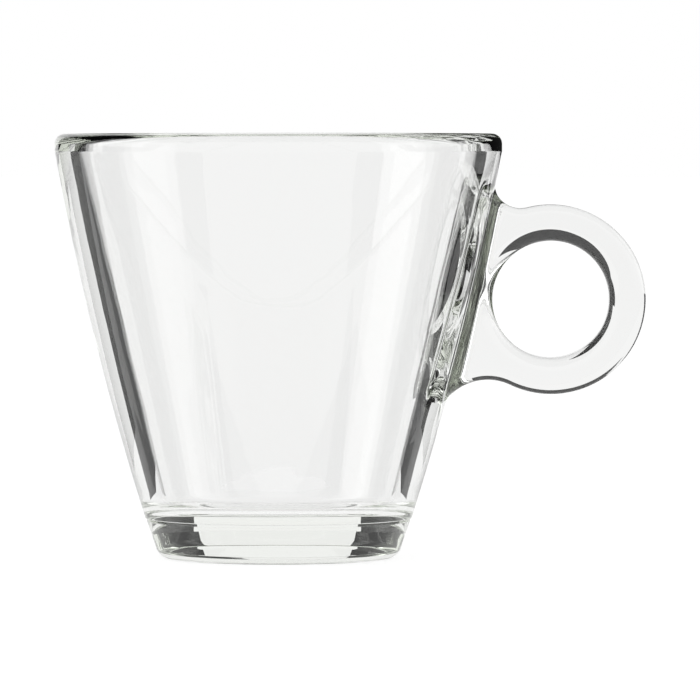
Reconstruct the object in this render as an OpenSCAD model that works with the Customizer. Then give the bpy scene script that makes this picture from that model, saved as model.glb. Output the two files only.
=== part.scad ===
// Cortado glass: a small clear pressed-glass cup, a slightly bowed cone on a
// thick solid foot, with a flat ring handle that flares into the wall.
// Millimetres. Z runs up the cup's axis from the table, X points to the handle.

/* [Cup] */
// Height from the table to the top of the rim
cup_height = 66.5; // [60:0.5:75]
// Outside diameter of the rim band
rim_diameter = 70; // [66:0.5:76]
// Outside diameter of the wall where it lands on the foot
wall_foot_diameter = 41.8; // [40:0.2:45]
// Radius of the outward bow of the wall, seen from the side
wall_bow = 457; // [300:1:900]
// Thickness of the wall just under the rim band
rim_wall = 3.6; // [2.8:0.1:4.2]
// Thickness of the wall beside the floor, before its corner is rounded
floor_wall = 3.8; // [3:0.1:7]
// Thickness of the floor above the moulded line of the foot
floor_thickness = 1.7; // [1:0.1:4]
// Rounding between the floor and the inside wall
floor_round = 3; // [1:0.1:5]

/* [Rim] */
// Height of the upright band around the mouth
rim_band = 2.7; // [2.4:0.1:5]
// Rounding of the outer edge of the rim
rim_outer_round = 1.6; // [0.8:0.05:1.8]
// Rounding of the inner edge of the rim
rim_inner_round = 0.7; // [0.3:0.05:0.75]

/* [Foot] */
// Height of the moulded line between wall and foot
foot_height = 6.3; // [5:0.1:7]
// Width of the ledge left by the mould at that line
foot_ledge = 0.1; // [0:0.05:0.8]
// Inward lean of the side of the foot, degrees
foot_lean = 19; // [5:0.5:25]
// Rounding of the upper edge of the foot, which leaves a groove at the moulded line
seam_round = 0.45; // [0.2:0.05:0.8]
// Rounding of the lower edge of the foot
foot_round = 2.1; // [0.8:0.1:3]
// Width of the standing ring around the hollow, before its edges are rounded
standing_ring = 6; // [3:0.1:9]
// Depth of the hollow under the foot
hollow_depth = 0.9; // [0.4:0.05:1.5]
// Rounding where the hollow meets the standing ring
hollow_round = 0.6; // [0.2:0.05:0.8]

/* [Handle] */
// Drop from the rim line to the centre of the ring
ring_drop = 23.2; // [20:0.2:28]
// Diameter of the finger hole
finger_hole = 18.3; // [16:0.1:22]
// Width of the ring around the finger hole
ring_width = 5.65; // [4.5:0.05:7]
// Least glass between the finger hole and the wall
web_width = 3.2; // [2.6:0.1:5]
// Thickness of the handle plate, front to back
plate_thickness = 8; // [7:0.2:10]
// Rounding of the edges of the finger hole
hole_round = 2; // [0.8:0.05:2.2]
// Rounding of the outer edges of the plate
plate_round = 1.3; // [0.6:0.05:1.6]
// Fillet under the rim, between the wall and the top of the ring
upper_fillet = 3.1; // [2.4:0.1:4]
// Fillet between the wall and the underside of the ring
lower_fillet = 5.2; // [4:0.1:6.5]
// Fillet where the faces of the plate flare into the wall
root_flare = 2.8; // [2:0.1:3.4]
// Growth of each face of the plate, where that flare ends on the wall
flare_growth = 0.8; // [0.4:0.05:1.2]

/* [Hidden] */
$fn = 96;
wall_facets = 720;

rim_radius = rim_diameter / 2;
foot_radius = wall_foot_diameter / 2 - foot_ledge;
band_base = cup_height - rim_band;
floor_height = foot_height + floor_thickness;
spare = 1;

// The wall seen from the side is one arc through its upper and lower ends
wall_top = [rim_radius, band_base];
wall_low = [wall_foot_diameter / 2, foot_height];
wall_chord = wall_top - wall_low;
wall_half = norm(wall_chord) / 2;
wall_out = [wall_chord[1], -wall_chord[0]] / norm(wall_chord);
wall_centre = (wall_top + wall_low) / 2 - wall_out * sqrt(wall_bow * wall_bow - wall_half * wall_half);
function wall_radius(z) = wall_centre[0] + sqrt(wall_bow * wall_bow - pow(z - wall_centre[1], 2));

// The inside is a plain cone that runs straight on through the rim
mouth_radius = rim_radius - rim_wall;
floor_radius = wall_radius(floor_height) - floor_wall;
inside_slope = (mouth_radius - floor_radius) / (band_base - floor_height);
function inside_radius(z) = floor_radius + inside_slope * (z - floor_height);

// Both roundings of the rim fit side by side on its top
lip_width = rim_radius - inside_radius(cup_height);
round_share = min(1, lip_width / (rim_outer_round + rim_inner_round));

// The ring stands off the wall by the web
hole_radius = finger_hole / 2;
ring_radius = hole_radius + ring_width;
ring_height = band_base - ring_drop;
ring_centre = [wall_radius(ring_height) + web_width + hole_radius, ring_height];

// The wall falls back from the middle of the root to the outer edge of its flare
plate_half = plate_thickness / 2;
root_half = plate_half + flare_growth;
root_radius = wall_radius(ring_height - ring_radius);
wall_fall = root_radius - sqrt(root_radius * root_radius - root_half * root_half);

// Every fillet sinks a little into what it meets, so that it ends there on a clear line
wall_sink = 0.2;
plate_sink = 0.05;
upper_centre = touching(upper_fillet, 1);
lower_centre = touching(lower_fillet, -1);
upper_root = toward(upper_centre, wall_centre, upper_fillet + spare);
lower_root = toward(lower_centre, wall_centre, lower_fillet + spare);

// The flare of the plate follows a straight line along the wall, between the two fillets
flare_low = wall_radius(lower_centre[1]);
flare_top = wall_radius(upper_centre[1]);
flare_lean = atan2(flare_top - flare_low, upper_centre[1] - lower_centre[1]);
flare_half = plate_half + root_flare - plate_sink;
flare_reach = sqrt(pow(root_flare, 2) - pow(flare_half - root_half, 2)) - wall_fall;

// Point at a given distance from a toward b
function toward(a, b, distance) = a + (b - a) / norm(b - a) * distance;

// Centre of a fillet circle that sinks into the ring and the wall, above or below the ring
function touching(fillet, side) = let(
    from_wall = wall_bow + fillet - wall_sink - wall_fall,
    from_ring = ring_radius + fillet - plate_sink,
    span = ring_centre - wall_centre,
    along = (span * span + from_wall * from_wall - from_ring * from_ring) / (2 * norm(span)),
    across = sqrt(from_wall * from_wall - along * along),
    unit = span / norm(span)
) wall_centre + unit * along + side * across * [-unit[1], unit[0]];

// Sliver outside an arc of the given radius in the corner at b, between the sides to a and c
module corner_waste(a, b, c, radius) {
    side_a = (a - b) / norm(a - b);
    side_c = (c - b) / norm(c - b);
    half = acos(side_a * side_c) / 2;
    middle = side_a + side_c;
    centre = b + middle / norm(middle) * radius / sin(half);
    difference() {
        polygon([b + side_a * radius / tan(half), b, b + side_c * radius / tan(half), centre]);
        translate(centre) circle(radius);
    }
}

// Side view of everything inside the outer face of the wall, from the foot line up to the rim line
module wall_filled() {
    intersection() {
        translate(wall_centre) circle(wall_bow, $fn = wall_facets);
        translate([0, foot_height]) square([rim_radius + spare, band_base - foot_height]);
    }
}

// Side view of the drink space
module cavity() {
    corner = [floor_radius, floor_height];
    mouth = [inside_radius(band_base + spare), band_base + spare];
    difference() {
        polygon([[0, floor_height], corner, mouth, [0, band_base + spare]]);
        corner_waste([0, floor_height], corner, mouth, floor_round);
    }
}

// Upright band around the mouth with a fire-polished, rounded top
module rim_lip() {
    inner_top = [inside_radius(cup_height), cup_height];
    outer_top = [rim_radius, cup_height];
    inner_base = [mouth_radius, band_base];
    outer_base = [rim_radius, band_base];
    color([0.80, 0.86, 0.82, 0.4])
    rotate_extrude()
    difference() {
        polygon([inner_base, outer_base, outer_top, inner_top]);
        corner_waste(outer_base, outer_top, inner_top, rim_outer_round * round_share);
        corner_waste(inner_base, inner_top, outer_top, rim_inner_round * round_share);
    }
}

// Bowed conical wall and the floor of the drink space
module bowl() {
    color([0.84, 0.90, 0.87, 0.35])
    rotate_extrude()
    difference() {
        wall_filled();
        cavity();
    }
}

// Solid foot with a leaning side, rounded upper and lower edges and a shallow hollow underneath
module foot() {
    low = [foot_radius - foot_height * tan(foot_lean), 0];
    top = [foot_radius, foot_height];
    hollow_edge = [low[0] - standing_ring, 0];
    hollow_top = [hollow_edge[0] - hollow_depth, hollow_depth];
    color([0.74, 0.83, 0.78, 0.45])
    rotate_extrude()
    difference() {
        polygon([[0, hollow_depth], hollow_top, hollow_edge, low, top, [0, foot_height]]);
        corner_waste(hollow_edge, low, top, foot_round);
        corner_waste(low, top, [0, foot_height], seam_round);
        corner_waste(hollow_top, hollow_edge, low, hollow_round);
    }
}

// Half side view of a round cutter whose ends open out, so that the edge it leaves is rounded
module flared_cutter(radius, edge) {
    difference() {
        square([radius + edge, plate_half]);
        translate([radius + edge, plate_half - edge]) circle(edge);
        translate([radius, 0]) square([edge, plate_half - edge]);
    }
    translate([0, plate_half]) square([radius + edge, spare]);
}

// The same cutter in full, lying along the thickness of the plate at the given place
module plate_cutter(place, radius, edge) {
    translate([place[0], 0, place[1]])
    rotate([90, 0, 0])
    rotate_extrude() {
        flared_cutter(radius, edge);
        mirror([0, 1]) flared_cutter(radius, edge);
    }
}

// Side view of the glass between the ring and the wall, as far as the two fillets
module web_outline() {
    difference() {
        polygon([ring_centre, upper_centre, upper_root, lower_root, lower_centre]);
        translate(upper_centre) circle(upper_fillet);
        translate(lower_centre) circle(lower_fillet);
    }
}

// Disc of the ring, its two outer edges rounded
module ring_disc() {
    edge = [ring_radius, plate_half];
    translate([ring_centre[0], 0, ring_centre[1]])
    rotate([90, 0, 0])
    rotate_extrude()
    difference() {
        translate([0, -plate_half]) square([ring_radius, plate_thickness]);
        corner_waste([0, plate_half], edge, [ring_radius, 0], plate_round);
        mirror([0, 1]) corner_waste([0, plate_half], edge, [ring_radius, 0], plate_round);
    }
}

// Web between ring and wall, its edges rounded along the fillets
module web() {
    difference() {
        rotate([90, 0, 0]) linear_extrude(plate_thickness, center = true) web_outline();
        plate_cutter(upper_centre, upper_fillet, plate_round);
        plate_cutter(lower_centre, lower_fillet, plate_round);
    }
}

// Flare that widens the web front and back where it grows out of the wall
module root() {
    length = upper_centre[1] - lower_centre[1] + upper_fillet + lower_fillet;
    intersection() {
        rotate([90, 0, 0]) linear_extrude(2 * flare_half, center = true) web_outline();
        translate([flare_low, 0, lower_centre[1]])
        rotate([0, flare_lean, 0])
        translate([0, 0, -lower_fillet])
        linear_extrude(length)
        difference() {
            translate([-web_width, -flare_half]) square([web_width + flare_reach, 2 * flare_half]);
            translate([flare_reach, flare_half]) circle(root_flare);
            translate([flare_reach, -flare_half]) circle(root_flare);
        }
    }
}

// Flat ring handle with its web and flared root, ending on the outer face of the wall
module handle() {
    color([0.78, 0.86, 0.81, 0.42])
    difference() {
        union() {
            ring_disc();
            web();
            root();
        }
        plate_cutter(ring_centre, hole_radius, hole_round);
        rotate([0, 0, 180]) rotate_extrude() wall_filled();
    }
}

rim_lip();
bowl();
foot();
handle();
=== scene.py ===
# Cortado glass: a small clear pressed-glass cup with a flat ring handle, on a pale studio floor.
# Metres. Z runs up the cup's axis from the table, X points to the handle, the viewer stands on the -Y side.
import math

import bmesh
import bpy
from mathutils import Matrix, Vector


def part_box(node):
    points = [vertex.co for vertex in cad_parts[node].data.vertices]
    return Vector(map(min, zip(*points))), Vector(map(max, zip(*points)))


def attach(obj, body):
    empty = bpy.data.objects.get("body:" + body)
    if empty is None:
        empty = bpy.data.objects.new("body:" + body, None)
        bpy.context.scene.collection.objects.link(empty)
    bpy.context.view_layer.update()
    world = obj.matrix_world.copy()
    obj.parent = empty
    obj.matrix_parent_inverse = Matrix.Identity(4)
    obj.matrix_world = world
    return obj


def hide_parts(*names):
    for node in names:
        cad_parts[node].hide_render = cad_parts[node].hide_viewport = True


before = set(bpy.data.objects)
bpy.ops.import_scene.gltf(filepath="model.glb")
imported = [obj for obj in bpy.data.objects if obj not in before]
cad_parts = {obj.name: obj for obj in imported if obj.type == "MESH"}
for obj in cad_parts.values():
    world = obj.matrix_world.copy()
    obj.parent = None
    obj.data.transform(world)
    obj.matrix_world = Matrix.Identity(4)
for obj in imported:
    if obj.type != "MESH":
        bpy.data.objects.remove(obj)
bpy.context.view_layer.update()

# Bowl, rim and foot
# One round body of clear soda-lime glass, pressed between a mould and a plunger and then fire-polished.
# Its wall is a bowed cone, thick at the foot, with an upright band at the rim and a line where the mould met.
rim_low, rim_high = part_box("rim_lip")
foot_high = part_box("foot")[1]
cup_height = rim_high.z
rim_radius = rim_high.x
rim_line = rim_low.z
foot_line = foot_high.z
wall_low_radius = 0.0209
wall_bow = 0.457
foot_radius = 0.0208
foot_lean = math.radians(19)
foot_round = 0.0021
groove_width = 0.0004
groove_depth = 0.0003
shoulder_round = 0.0004
groove_round = 0.0001
band_round = 0.0007
rim_outer_round = 0.0016
rim_inner_round = 0.0007
rim_thickness = 0.0036
mouth_radius = rim_radius - rim_thickness
floor_radius = 0.01762
floor_height = 0.008
floor_round = 0.003
standing_ring = 0.006
hollow_depth = 0.0009
hollow_round = 0.0004
turn_steps = 240
wall_steps = 60
long_span = 0.003
row_height = 0.0012

# The wall seen from the side is one arc from the foot line to the rim line
wall_low = Vector((wall_low_radius, 0, foot_line))
wall_top = Vector((rim_radius, 0, rim_line))
chord = wall_top - wall_low
outward = Vector((chord.z, 0, -chord.x)).normalized()
wall_centre = (wall_low + wall_top) / 2 - outward * math.sqrt(wall_bow**2 - (chord.length / 2) ** 2)
front_axis = (0, -1, 0)


def wall_radius(z):
    """Outside radius of the wall at a height."""
    return wall_centre.x + math.sqrt(wall_bow**2 - (z - wall_centre.z) ** 2)


def line_to(bm, start, place):
    """Adds an edge from a vertex of an outline to a new place, and returns the new vertex."""
    end = bm.verts.new(place)
    bm.edges.new((start, end))
    return end


def arc_to(bm, start, centre, angle, steps):
    """Turns a vertex of an outline about a centre in the side view, and returns the last vertex."""
    turned = bmesh.ops.spin(bm, geom=[start], cent=centre, axis=front_axis, angle=angle, steps=steps)
    return next(g for g in turned["geom_last"] if isinstance(g, bmesh.types.BMVert))


def round_corner(bm, corner, radius, segments):
    """Rounds a corner of an outline to a radius."""
    arms = [(edge.other_vert(corner).co - corner.co).normalized() for edge in corner.link_edges]
    run = radius / math.tan(arms[0].angle(arms[1]) / 2)
    bmesh.ops.bevel(
        bm,
        geom=[corner],
        offset=run,
        offset_type="OFFSET",
        segments=segments,
        profile=0.5,
        affect="VERTICES",
        material=-1,
    )


def finished_object(bm, name):
    """Makes a smooth object of a closed bmesh, with its faces outwards."""
    bmesh.ops.remove_doubles(bm, verts=bm.verts, dist=1e-7)
    bmesh.ops.recalc_face_normals(bm, faces=bm.faces)
    for face in bm.faces:
        face.smooth = True
    mesh = bpy.data.meshes.new(name)
    bm.to_mesh(mesh)
    bm.free()
    made = bpy.data.objects.new(name, mesh)
    bpy.context.scene.collection.objects.link(made)
    return made


slope = (mouth_radius - floor_radius) / (rim_line - floor_height)
foot_low_radius = foot_radius - foot_line * math.tan(foot_lean)
hollow_radius = foot_low_radius - standing_ring
cup_bm = bmesh.new()
axis_low = cup_bm.verts.new((0, 0, hollow_depth))
hollow_top = line_to(cup_bm, axis_low, (hollow_radius - hollow_depth, 0, hollow_depth))
hollow_edge = line_to(cup_bm, hollow_top, (hollow_radius, 0, 0))
foot_edge = line_to(cup_bm, hollow_edge, (foot_low_radius, 0, 0))
shoulder_radius = foot_radius - groove_width * math.tan(foot_lean)
shoulder = line_to(cup_bm, foot_edge, (shoulder_radius, 0, foot_line - groove_width))
groove = line_to(cup_bm, shoulder, (wall_low_radius - groove_depth, 0, foot_line))
wall_edge = line_to(cup_bm, groove, wall_low)
arc = (wall_top - wall_centre).angle(wall_low - wall_centre)
band_base = arc_to(cup_bm, wall_edge, wall_centre, arc, wall_steps)
rim_outer = line_to(cup_bm, band_base, (rim_radius, 0, cup_height))
rim_inner = line_to(cup_bm, rim_outer, (mouth_radius + slope * (cup_height - rim_line), 0, cup_height))
floor_corner = line_to(cup_bm, rim_inner, (floor_radius, 0, floor_height))
line_to(cup_bm, floor_corner, (0, 0, floor_height))
for corner, radius, segments in (
    (hollow_top, hollow_round, 4),
    (hollow_edge, hollow_round, 4),
    (foot_edge, foot_round, 14),
    (shoulder, shoulder_round, 6),
    (groove, groove_round, 4),
    (wall_edge, groove_round, 4),
    (band_base, band_round, 4),
    (rim_outer, rim_outer_round, 12),
    (rim_inner, rim_inner_round, 8),
    (floor_corner, floor_round, 16),
):
    round_corner(cup_bm, corner, radius, segments)
long_edges = [edge for edge in cup_bm.edges if edge.calc_length() > long_span]
for edge in long_edges:
    bmesh.ops.subdivide_edges(cup_bm, edges=[edge], cuts=int(edge.calc_length() / row_height))
profile = cup_bm.verts[:] + cup_bm.edges[:]
bmesh.ops.spin(
    cup_bm, geom=profile, cent=(0, 0, 0), axis=(0, 0, 1), angle=math.tau, steps=turn_steps, use_merge=True
)
cup = finished_object(cup_bm, "cup_glass")

# Ring handle
# A flat ring of the same glass with a round finger hole, pressed in one with the wall.
# Fillets above and below run it into the wall, and its two faces flare out where they meet the wall.
handle_low, handle_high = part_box("handle")
ring_radius = 0.0148
hole_radius = 0.00915
ring_centre = Vector((handle_high.x - ring_radius, 0, handle_low.z + ring_radius))
plate_half = 0.004
plate_round = 0.0013
hole_round = 0.002
upper_fillet = 0.0044
lower_fillet = 0.0082
wall_sink = 0.0007
root_depth = 0.0022
root_flare = 0.002
flare_gain = 0.0012
flare_sink = 0.0003
ring_steps = 150
fillet_steps = 24
root_steps = 30
face_rows = 30
round_segments = 10
flatness = 0.9999
hole_margin = 1.01


def fillet_centre(fillet, side):
    """Centre of a fillet that touches the ring and sinks a little into the wall, above or below the ring."""
    from_wall = wall_bow + fillet - wall_sink
    from_ring = ring_radius + fillet
    span = ring_centre - wall_centre
    along = (span.length_squared + from_wall**2 - from_ring**2) / (2 * span.length)
    across = math.sqrt(from_wall**2 - along**2)
    unit = span.normalized()
    return wall_centre + unit * along + side * across * Vector((-unit.z, 0, unit.x))


def bearing(centre, place):
    """Angle from a centre to a place in the side view, anticlockwise from +X."""
    return math.atan2(place.z - centre.z, place.x - centre.x)


upper_centre = fillet_centre(upper_fillet, 1)
lower_centre = fillet_centre(lower_fillet, -1)
ring_start = bearing(ring_centre, lower_centre)
ring_sweep = bearing(ring_centre, upper_centre) - ring_start
upper_sweep = (wall_centre - upper_centre).angle(ring_centre - upper_centre)
lower_sweep = (wall_centre - lower_centre).angle(ring_centre - lower_centre)

handle_bm = bmesh.new()
start = handle_bm.verts.new(ring_centre + (lower_centre - ring_centre).normalized() * ring_radius)
ring_end = arc_to(handle_bm, start, ring_centre, ring_sweep, ring_steps)
upper_end = arc_to(handle_bm, ring_end, upper_centre, -upper_sweep, fillet_steps)
lower_end = lower_centre + (wall_centre - lower_centre).normalized() * lower_fillet
deep_top = Vector((upper_end.co.x - root_depth, 0, upper_end.co.z))
deep_low = Vector((lower_end.x - root_depth, 0, lower_end.z))
vertex = upper_end
for step in range(root_steps + 1):
    vertex = line_to(handle_bm, vertex, deep_top.lerp(deep_low, step / root_steps))
vertex = line_to(handle_bm, vertex, lower_end)
arc_to(handle_bm, vertex, lower_centre, -lower_sweep, fillet_steps)
bmesh.ops.remove_doubles(handle_bm, verts=handle_bm.verts, dist=1e-6)

# The same outline, drawn in to the finger hole, gives the flat of the plate in one row of faces
outline = handle_bm.verts[:]
bmesh.ops.extrude_edge_only(handle_bm, edges=handle_bm.edges[:])
hole_angles = [ring_start + ring_sweep * step / ring_steps for step in range(ring_steps + 1)]
rest_steps = len(outline) - ring_steps
hole_angles += [
    ring_start + ring_sweep + (math.tau - ring_sweep) * step / rest_steps for step in range(1, rest_steps)
]
for outer, angle in zip(outline, hole_angles):
    spoke = next(edge for edge in outer.link_edges if len(edge.link_faces) == 2)
    spoke.other_vert(outer).co = ring_centre + hole_radius * Vector((math.cos(angle), 0, math.sin(angle)))
bmesh.ops.translate(handle_bm, verts=handle_bm.verts, vec=(0, -plate_half, 0))
raised = bmesh.ops.extrude_face_region(handle_bm, geom=handle_bm.faces[:])
raised_verts = [g for g in raised["geom"] if isinstance(g, bmesh.types.BMVert)]
bmesh.ops.translate(handle_bm, verts=raised_verts, vec=(0, 2 * plate_half, 0))
bmesh.ops.recalc_face_normals(handle_bm, faces=handle_bm.faces)


def flat(face):
    """Whether a face of the handle lies in the front or the back of the plate."""
    return abs(face.normal.y) > flatness


rims = [edge for edge in handle_bm.edges if sum(flat(face) for face in edge.link_faces) == 1]
hole_rims = [
    edge for edge in rims if (edge.verts[0].co - ring_centre).xz.length < hole_margin * hole_radius
]
outer_rims = [edge for edge in rims if edge not in hole_rims]
for edges, radius in ((hole_rims, hole_round), (outer_rims, plate_round)):
    bmesh.ops.bevel(
        handle_bm,
        geom=edges,
        offset=radius,
        offset_type="OFFSET",
        segments=round_segments,
        profile=0.5,
        affect="EDGES",
        material=-1,
    )
spokes = [edge for edge in handle_bm.edges if all(flat(face) for face in edge.link_faces)]
bmesh.ops.subdivide_edges(handle_bm, edges=spokes, cuts=face_rows, use_grid_fill=True)

# The faces of the plate curve out to the wall, more widely towards the lower end
for vertex in handle_bm.verts:
    fall = (deep_top.z - vertex.co.z) / (deep_top.z - deep_low.z)
    flare = root_flare + flare_gain * min(1, max(0, fall))
    clear = max(0, math.hypot(vertex.co.x, vertex.co.y) - wall_radius(vertex.co.z))
    bend = max(0, flare - flare_sink - clear)
    growth = flare - math.sqrt(flare**2 - bend**2)
    vertex.co.y *= 1 + growth / plate_half
handle = finished_object(handle_bm, "handle_glass")

# Glass of the whole cup
# The handle and the round body are one piece, so their meshes are joined into one closed skin.
# The glass is clear, with an olive tint that shows in long paths and a faint unevenness from the mould.
union = cup.modifiers.new("pressed_in_one", "BOOLEAN")
union.operation = "UNION"
union.solver = "MANIFOLD"
union.object = handle
whole = bpy.data.meshes.new_from_object(cup.evaluated_get(bpy.context.evaluated_depsgraph_get()))
cup.modifiers.clear()
cup.data = whole
bpy.data.objects.remove(handle)

# The many-sided faces along the line where the two meet are cut to triangles, and slivers there dissolved
sliver = 0.00001
crease_angle = math.radians(35)
whole_bm = bmesh.new()
whole_bm.from_mesh(whole)
cut_faces = [face for face in whole_bm.faces if len(face.verts) > 4]
bmesh.ops.triangulate(whole_bm, faces=cut_faces, quad_method="BEAUTY", ngon_method="BEAUTY")
bmesh.ops.dissolve_degenerate(whole_bm, dist=sliver, edges=whole_bm.edges)

# The pressed glass has no crease there, so the skin around that line is smoothed over
root_reach = 0.0012
root_half_width = 0.0075
root_margin = 0.003
smooth_rounds = 24


def near_root(place):
    """Whether a place lies close to the outside of the wall, where the handle meets it."""
    beside = place.x > 0 and abs(place.y) < root_half_width
    level = deep_low.z - root_margin < place.z < deep_top.z + root_margin
    return beside and level and abs(math.hypot(place.x, place.y) - wall_radius(place.z)) < root_reach


root_verts = [vertex for vertex in whole_bm.verts if near_root(vertex.co)]
for smooth_round in range(smooth_rounds):
    bmesh.ops.smooth_vert(
        whole_bm, verts=root_verts, factor=0.5, use_axis_x=True, use_axis_y=True, use_axis_z=True
    )
whole_bm.to_mesh(whole)
whole_bm.free()
whole.shade_smooth()
whole.set_sharp_from_angle(angle=crease_angle)

glass_ior = 1.52
glass_tint = (0.78, 0.84, 0.70, 1)
glass_density = 6.0
wave_scale = 70
wave_height = 0.0004
wave_strength = 0.12
grain_scale = 900
most_roughness = 0.012


class Value:
    """A socket among a material's nodes: arithmetic on it adds Math nodes, and node() adds any other node."""

    def __init__(self, tree, socket=None):
        self.tree = tree
        self.socket = socket

    def node(self, kind, settings=None, inputs=None, output=0):
        made = self.tree.nodes.new("ShaderNode" + kind)
        for name, value in (settings or {}).items():
            setattr(made, name, value)
        for name, value in (inputs or {}).items():
            if isinstance(value, Value):
                self.tree.links.new(value.socket, made.inputs[name])
            else:
                made.inputs[name].default_value = value
        return Value(self.tree, made.outputs[output] if made.outputs else None)

    def maths(self, operation, first, second):
        return self.node("Math", {"operation": operation}, {0: first, 1: second})

    def __add__(self, other):
        return self.maths("ADD", self, other)

    def __mul__(self, other):
        return self.maths("MULTIPLY", self, other)

    def __rsub__(self, other):
        return self.maths("SUBTRACT", other, self)

    __radd__ = __add__
    __rmul__ = __mul__


def new_tree(owner):
    """Empties the node tree of a material or a world, and returns it as a Value to build on."""
    owner.use_nodes = True
    owner.node_tree.nodes.clear()
    return Value(owner.node_tree)


glass = bpy.data.materials.new("clear_pressed_glass")
tree = new_tree(glass)
place = tree.node("TexCoord", output="Object")
waves = tree.node("TexNoise", inputs={"Vector": place, "Scale": wave_scale, "Detail": 2, "Roughness": 0.4})
grain = tree.node("TexNoise", inputs={"Vector": place, "Scale": grain_scale, "Detail": 3})
uneven = tree.node("Bump", inputs={"Strength": wave_strength, "Distance": wave_height, "Height": waves})
polish = most_roughness * grain
shader = tree.node(
    "BsdfPrincipled",
    inputs={
        "Base Color": (1, 1, 1, 1),
        "Roughness": polish,
        "IOR": glass_ior,
        "Transmission Weight": 1.0,
        "Normal": uneven,
    },
)
absorption = tree.node("VolumeAbsorption", inputs={"Color": glass_tint, "Density": glass_density})
tree.node("OutputMaterial", inputs={"Surface": shader, "Volume": absorption})
whole.materials.clear()
whole.materials.append(glass)
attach(cup, "root")
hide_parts("rim_lip", "bowl", "foot", "handle")

# Floor
# A pale matt floor that runs on past the view: white to the eye, with a soft shadow under the cup.
# Through the glass and in its gloss the floor glows dimmer than it does to the eye: painted shade, a lower
# level that stands in for the shaded floor around the cup.
floor_size = 12
shadow_share = 0.3
floor_to_eye = 0.85
# Painted shade: the floor's glow for rays through and off the glass, set below its glow to the eye
shaded_floor_to_glass = 0.705
floor_bm = bmesh.new()
bmesh.ops.create_grid(floor_bm, x_segments=1, y_segments=1, size=floor_size / 2)
floor = finished_object(floor_bm, "floor")
floor_paint = bpy.data.materials.new("pale_floor")
tree = new_tree(floor_paint)
matt = tree.node("BsdfDiffuse", inputs={"Color": (shadow_share, shadow_share, shadow_share, 1)})
to_eye = tree.node("LightPath", output="Is Camera Ray")
to_gloss = tree.node("LightPath", output="Is Glossy Ray")
to_glass = tree.node("LightPath", output="Is Transmission Ray")
through_glass = tree.maths("MAXIMUM", to_gloss, to_glass)
glow_strength = floor_to_eye * to_eye + shaded_floor_to_glass * through_glass
glow = tree.node("Emission", inputs={"Color": (1, 1, 1, 1), "Strength": glow_strength})
lit = tree.node("AddShader", inputs={0: matt, 1: glow})
tree.node("OutputMaterial", inputs={"Surface": lit})
floor.data.materials.append(floor_paint)

# Dark cards
# Black boards lie and stand beside and behind the cup, and a canopy hangs in front, all out of the picture.
# Only the glass sees them, in what it bends and mirrors, and so its edges and its foot draw dark.
card_grey = 0.02
canopy_grey = 0.1
card_lift = 0.0002
floor_card_near = 0.085
floor_card_far = 0.6
near_bearings = (41, 68)
far_bearings = (58, 35)
flag_away = 0.6
flag_height = 1.6
flag_bearings = (27, 66)
ring_card_back = 0.12
ring_card_low = 0.0575
ring_card_high = 0.3
ring_card_base_ends = (0.02, 0.12)
ring_card_top_ends = (0.2, -0.1)
canopy_height = 0.7
canopy_half = 1.6
canopy_front = -0.95
canopy_back = -0.1


def spot(bearing_degrees, away, height):
    """A place around the cup, by its bearing clockwise from straight behind, distance and height."""
    turn = math.radians(bearing_degrees)
    return Vector((away * math.sin(turn), away * math.cos(turn), height))


def card(name, corners, grey):
    """A flat four-cornered board that only the glass sees."""
    board_bm = bmesh.new()
    board_bm.faces.new([board_bm.verts.new(corner) for corner in corners])
    board = finished_object(board_bm, name)
    paint = bpy.data.materials.new(name + "_paint")
    board_tree = new_tree(paint)
    black = board_tree.node("Emission", inputs={"Color": (1, 1, 1, 1), "Strength": grey})
    board_tree.node("OutputMaterial", inputs={"Surface": black})
    board.data.materials.append(paint)
    board.visible_camera = False
    board.visible_diffuse = False
    board.visible_shadow = False


for side, name in ((-1, "left"), (1, "right")):
    near_edge = [spot(side * degrees, floor_card_near, card_lift) for degrees in near_bearings]
    far_edge = [spot(side * degrees, floor_card_far, card_lift) for degrees in far_bearings]
    card(name + "_floor_card", near_edge + far_edge, card_grey)
    flag_base = [spot(side * degrees, flag_away, 0) for degrees in flag_bearings]
    flag_top = [spot(side * degrees, flag_away, flag_height) for degrees in reversed(flag_bearings)]
    card(name + "_flag", flag_base + flag_top, card_grey)
ring_card_base = [Vector((x, ring_card_back, ring_card_low)) for x in ring_card_base_ends]
ring_card_top = [Vector((x, ring_card_back, ring_card_high)) for x in ring_card_top_ends]
card("ring_card", ring_card_base + ring_card_top, card_grey)
canopy_near_edge = [Vector((x, canopy_front, canopy_height)) for x in (-canopy_half, canopy_half)]
canopy_far_edge = [Vector((x, canopy_back, canopy_height)) for x in (canopy_half, -canopy_half)]
card("canopy", canopy_near_edge + canopy_far_edge, canopy_grey)

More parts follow.
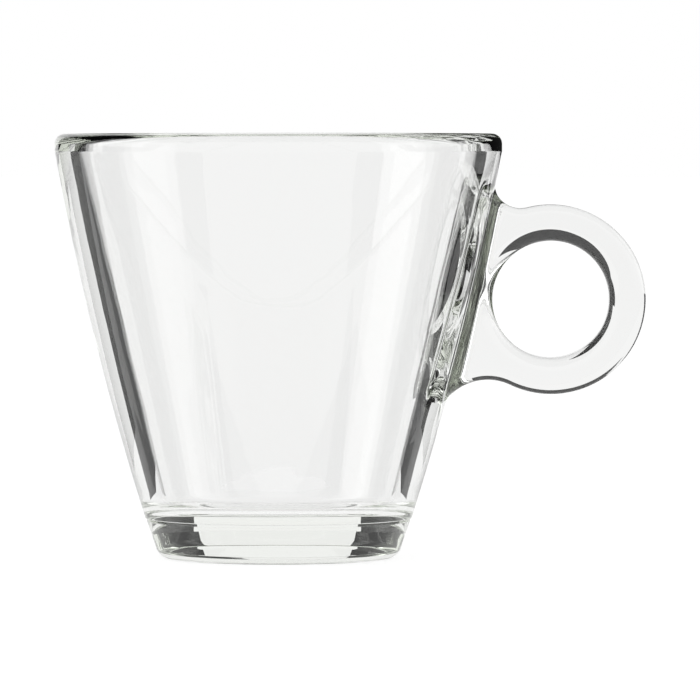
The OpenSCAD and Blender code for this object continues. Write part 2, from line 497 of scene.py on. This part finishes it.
# Light
# A softbox on each side, the left one stronger, and white walls all round under a darker ceiling.
# The walls are what the glass shows where it draws light, and the ceiling dims what it mirrors from above.
wall_white = 0.92
ceiling_white = 0.45
ceiling_start = 0.45
ceiling_full = 0.8
world = bpy.data.worlds.new("studio")
bpy.context.scene.world = world
tree = new_tree(world)
to_eye = tree.node("LightPath", output="Is Camera Ray")
up = tree.node("SeparateXYZ", inputs={"Vector": tree.node("TexCoord", output="Generated")}, output="Z")
room = tree.node(
    "MapRange",
    {"interpolation_type": "SMOOTHSTEP"},
    {
        "Value": up,
        "From Min": ceiling_start,
        "From Max": ceiling_full,
        "To Min": wall_white,
        "To Max": ceiling_white,
    },
)
sky = tree.node("Background", inputs={"Color": (1, 1, 1, 1), "Strength": to_eye + (1 - to_eye) * room})
tree.node("OutputWorld", inputs={"Surface": sky})
softbox_width = 0.6
softbox_height = 0.8
softbox_bearing = 92
softbox_away = 0.9
softbox_rise = 0.45
lit_place = Vector((0, 0, 0.03))
for side, name, watts in ((-1, "left_softbox", 1.6), (1, "right_softbox", 0.9)):
    lamp = bpy.data.lights.new(name, "AREA")
    lamp.shape = "RECTANGLE"
    lamp.size = softbox_width
    lamp.size_y = softbox_height
    lamp.energy = watts
    softbox = bpy.data.objects.new(name, lamp)
    softbox.location = spot(side * softbox_bearing, softbox_away, softbox_rise)
    softbox.rotation_euler = (lit_place - softbox.location).to_track_quat("-Z", "Y").to_euler()
    softbox.visible_camera = False
    bpy.context.scene.collection.objects.link(softbox)

# Camera
# A long lens at the height of the rim, square to the handle's plate.
# Its length follows from how many pixels of the picture a metre takes up at the cup.
# Light may bend and mirror many times in the thick glass, so that no part of it goes black.
picture_width = 700
pixels_per_metre = 6386
camera_distance = 1.1
camera_rise = 0.004
aim = Vector((0.0112, 0, 0.0326))
bend_bounces = 32
mirror_bounces = 24
camera_data = bpy.data.cameras.new("camera")
camera_data.sensor_width = 36
camera_data.lens = pixels_per_metre * camera_distance / picture_width * camera_data.sensor_width
camera_data.clip_start = 0.01
camera = bpy.data.objects.new("camera", camera_data)
camera.location = (aim.x, -camera_distance, cup_height + camera_rise)
camera.rotation_euler = (aim - camera.location).to_track_quat("-Z", "Y").to_euler()
bpy.context.scene.collection.objects.link(camera)
bpy.context.scene.camera = camera
bpy.context.scene.view_settings.view_transform = "Standard"
bpy.context.scene.cycles.max_bounces = bend_bounces
bpy.context.scene.cycles.glossy_bounces = mirror_bounces
bpy.context.scene.cycles.transmission_bounces = bend_bounces
